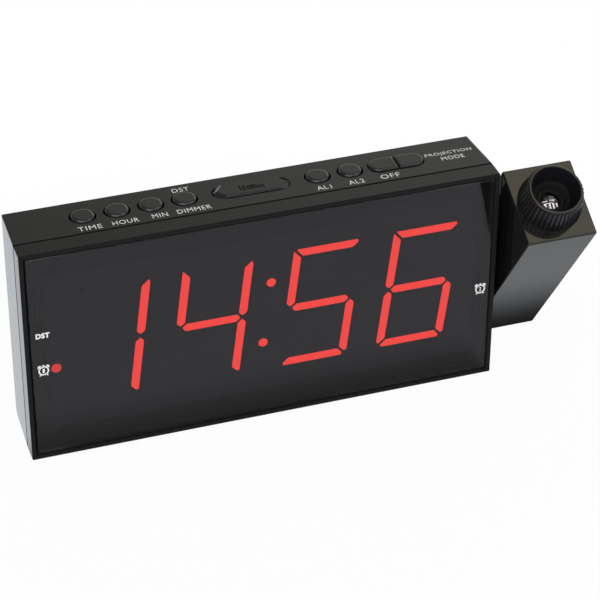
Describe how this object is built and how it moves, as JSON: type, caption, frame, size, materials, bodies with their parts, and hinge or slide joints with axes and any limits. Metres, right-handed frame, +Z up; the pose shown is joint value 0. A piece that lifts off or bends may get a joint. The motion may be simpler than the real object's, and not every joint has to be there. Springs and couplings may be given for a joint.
{
  "type": "projection alarm clock",
  "caption": "Slim black table alarm clock with a red digital display, keys along the top and a tilting time projector at its side.",
  "frame": {"origin": "centre of the case on the surface it stands on, at the bottoms of the feet", "axes": "+X towards the projector head, +Y towards the back, +Z up"},
  "size_m": [0.1935, 0.069, 0.0879],
  "materials": {
    "casing": "fine matte black moulding",
    "keycap": "satin black moulding",
    "window": "smoked glossy sheet",
    "black_inner": "black moulding",
    "ring_black": "satin black moulding",
    "lit_red": "lit red diffuser",
    "unlit_red": "unlit dark diffuser",
    "led_lens": "clear resin",
    "circuit_board": "green solder mask",
    "component": "black resin",
    "steel": "plain steel",
    "contact": "plated brass",
    "foot_rubber": "black rubber",
    "lead_rubber": "black insulation",
    "optic_glass": "clear glass"
  },
  "bodies": {
    "case": {"front_frame": "casing", "display_window": "window", "display_reflector": "black_inner", "lit_segments": "lit_red", "unlit_segments": "unlit_red", "segment_leds": "led_lens", "display_board": "circuit_board", "display_screws": "steel", "rear_casing": "casing", "key_board": "circuit_board", "key_switches": "component", "main_board": "circuit_board", "controller_chip": "component", "quartz_crystal": "steel", "smoothing_capacitor": "component", "board_link_pins": "contact", "dc_jack": "component", "jack_pin": "contact", "buzzer": "component", "cell_holder": "black_inner", "coin_cell": "steel", "cell_contacts": "contact", "rubber_feet": "foot_rubber", "casing_screws": "steel", "board_screws": "steel", "pivot_bush": "black_inner", "case_lead": "lead_rubber"},
    "head": {"head_housing": "casing", "head_side_cover": "casing", "head_screws": "steel", "pivot_shaft": "black_inner", "pivot_clip": "steel", "friction_washer": "black_inner", "stop_disc": "black_inner", "optic_tube": "black_inner", "lcd_gate": "black_inner", "lcd_slide": "optic_glass", "condenser_lens": "optic_glass", "led_board": "circuit_board", "projector_led": "led_lens", "head_lead": "lead_rubber"},
    "focus_ring": {"focus_ring": "ring_black"},
    "lens_barrel": {"lens_barrel": "black_inner", "projection_lens": "optic_glass"},
    "battery_door": {"battery_door": "casing", "door_screw": "steel"},
    "key_time": {"key_time": "keycap"},
    "key_hour": {"key_hour": "keycap"},
    "key_min": {"key_min": "keycap"},
    "key_dimmer": {"key_dimmer": "keycap"},
    "key_snooze": {"key_snooze": "keycap"},
    "key_al1": {"key_al1": "keycap"},
    "key_al2": {"key_al2": "keycap"},
    "key_off": {"key_off": "keycap"},
    "key_projection": {"key_projection": "keycap"}
  },
  "joints": [
    {"name": "head_tilt", "type": "hinge", "parent": "case", "child": "head", "pos_m": [0.0852, -0.001, 0.0417], "axis": [1, 0, 0], "range_deg": [-125, 54.9]},
    {"name": "focus_turn", "type": "hinge", "parent": "head", "child": "focus_ring", "pos_m": [0.0977, -0.02351, 0.07552], "axis": [0, -0.4994, 0.8664], "range_deg": [-135, 135]},
    {"name": "lens_focus", "type": "slide", "parent": "focus_ring", "child": "lens_barrel", "axis": [0, -0.4994, 0.8664], "range_m": [-0.0015, 0.0015]},
    {"name": "battery_door_slide", "type": "slide", "parent": "case", "child": "battery_door", "axis": [0, 1, 0], "range_m": [0, 0.014]},
    {"name": "key_time_press", "type": "slide", "parent": "case", "child": "key_time", "axis": [0, 0, -1], "range_m": [0, 0.0008], "stiffness_N_per_m": 400, "springref_m": -0.0006},
    {"name": "key_hour_press", "type": "slide", "parent": "case", "child": "key_hour", "axis": [0, 0, -1], "range_m": [0, 0.0008], "stiffness_N_per_m": 400, "springref_m": -0.0006},
    {"name": "key_min_press", "type": "slide", "parent": "case", "child": "key_min", "axis": [0, 0, -1], "range_m": [0, 0.0008], "stiffness_N_per_m": 400, "springref_m": -0.0006},
    {"name": "key_dimmer_press", "type": "slide", "parent": "case", "child": "key_dimmer", "axis": [0, 0, -1], "range_m": [0, 0.0008], "stiffness_N_per_m": 400, "springref_m": -0.0006},
    {"name": "key_snooze_press", "type": "slide", "parent": "case", "child": "key_snooze", "axis": [0, 0, -1], "range_m": [0, 0.0008], "stiffness_N_per_m": 400, "springref_m": -0.0006},
    {"name": "key_al1_press", "type": "slide", "parent": "case", "child": "key_al1", "axis": [0, 0, -1], "range_m": [0, 0.0008], "stiffness_N_per_m": 400, "springref_m": -0.0006},
    {"name": "key_al2_press", "type": "slide", "parent": "case", "child": "key_al2", "axis": [0, 0, -1], "range_m": [0, 0.0008], "stiffness_N_per_m": 400, "springref_m": -0.0006},
    {"name": "key_off_press", "type": "slide", "parent": "case", "child": "key_off", "axis": [0, 0, -1], "range_m": [0, 0.0008], "stiffness_N_per_m": 400, "springref_m": -0.0006},
    {"name": "key_projection_press", "type": "slide", "parent": "case", "child": "key_projection", "axis": [0, 0, -1], "range_m": [0, 0.0008], "stiffness_N_per_m": 400, "springref_m": -0.0006}
  ],
  "couplings": [
    {"joint": "focus_turn", "follows": "lens_focus", "rad_per_m": 1570.8}
  ]
}
